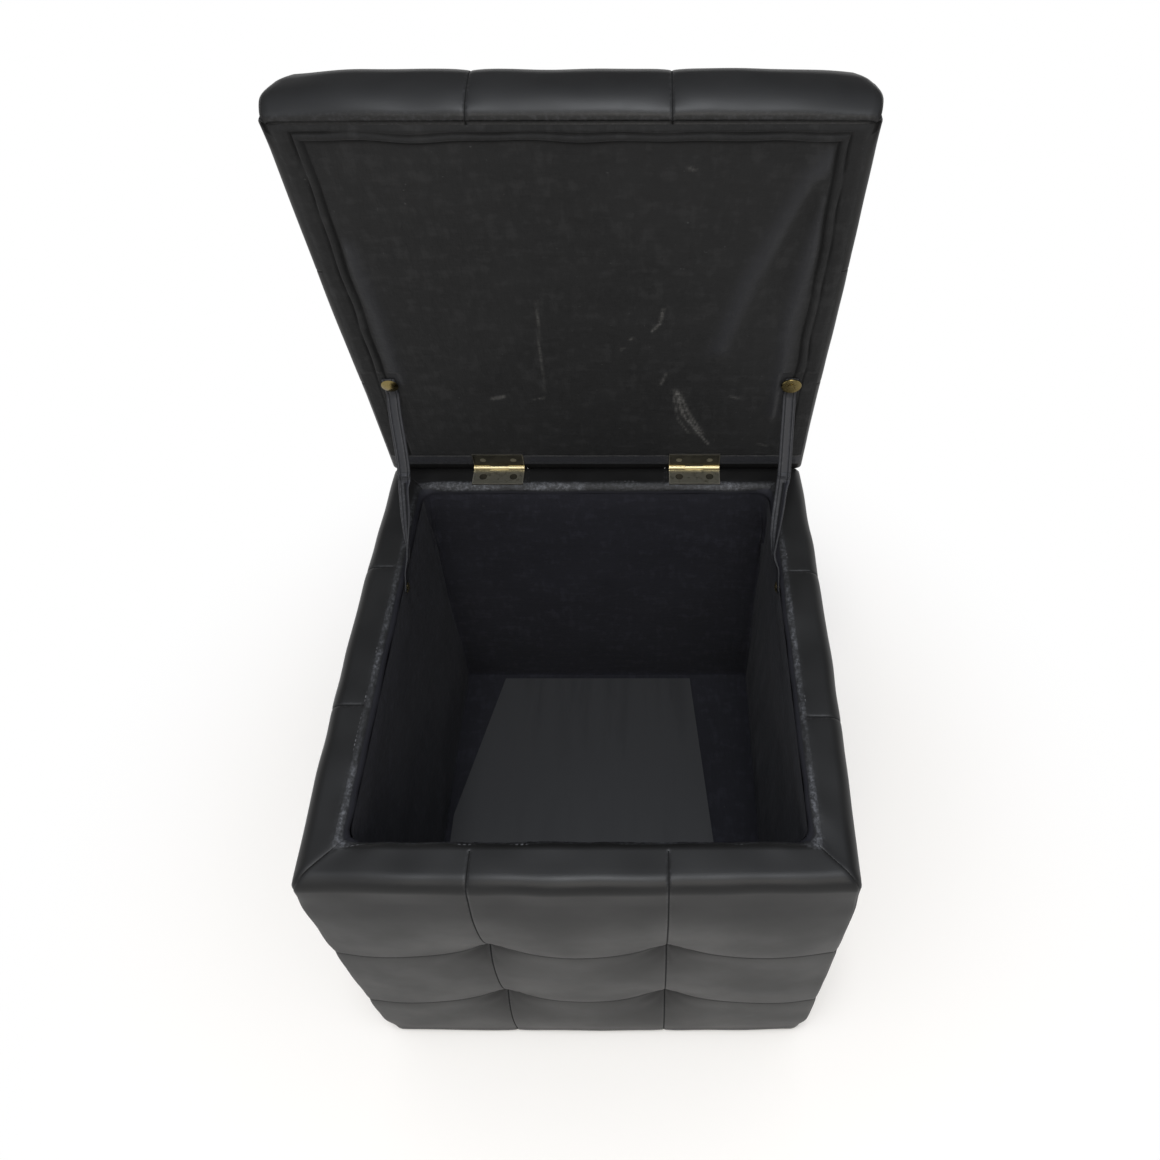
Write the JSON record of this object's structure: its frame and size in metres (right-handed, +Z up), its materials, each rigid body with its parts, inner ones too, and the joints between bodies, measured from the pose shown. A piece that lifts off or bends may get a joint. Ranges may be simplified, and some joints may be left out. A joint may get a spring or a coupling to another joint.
{
  "type": "storage ottoman",
  "caption": "Square quilted storage ottoman with a padded lid on butt hinges, strap stays and a cloth-lined store inside.",
  "frame": {"origin": "on the floor under the middle of the box", "axes": "+Z up, -Y towards the front, +X to the right seen from the front"},
  "size_m": [0.4102, 0.4545, 0.7911],
  "materials": {
    "leather": "satin",
    "strap_leather": "satin",
    "lining_cloth": "matte",
    "floor_board": "satin",
    "foam": "matte",
    "board": "matte",
    "antique_brass": "satin",
    "tack_brass": "satin",
    "zinc_steel": "satin"
  },
  "bodies": {
    "box": {"front_panel": "board", "front_foam": "foam", "front_cover": "leather", "back_panel": "board", "back_foam": "foam", "back_cover": "leather", "left_panel": "board", "left_foam": "foam", "left_cover": "leather", "right_panel": "board", "right_foam": "foam", "right_cover": "leather", "bottom_panel": "board", "bottom_cleats": "board", "lining": "lining_cloth", "dust_cover": "lining_cloth", "floor_board": "floor_board", "cover_staples": "zinc_steel", "panel_screws": "zinc_steel", "left_hinge_box_leaf": "antique_brass", "left_hinge_pin": "antique_brass", "right_hinge_box_leaf": "antique_brass", "right_hinge_pin": "antique_brass", "box_tacks": "tack_brass", "box_leaf_screws": "antique_brass"},
    "lid": {"lid_board": "board", "lid_foam": "foam", "lid_cover": "leather", "lid_lining": "lining_cloth", "lid_staples": "zinc_steel", "left_hinge_lid_leaf": "antique_brass", "right_hinge_lid_leaf": "antique_brass", "lid_leaf_screws": "antique_brass", "left_lid_tack": "tack_brass", "right_lid_tack": "tack_brass", "left_strap": "strap_leather", "right_strap": "strap_leather"}
  },
  "joints": [
    {"name": "lid_hinge", "type": "hinge", "parent": "box", "child": "lid", "pos_m": [0, 0.195, 0.39025], "axis": [1, 0, 0], "range_deg": [0, 82], "deforming": ["left_strap", "right_strap"]}
  ]
}
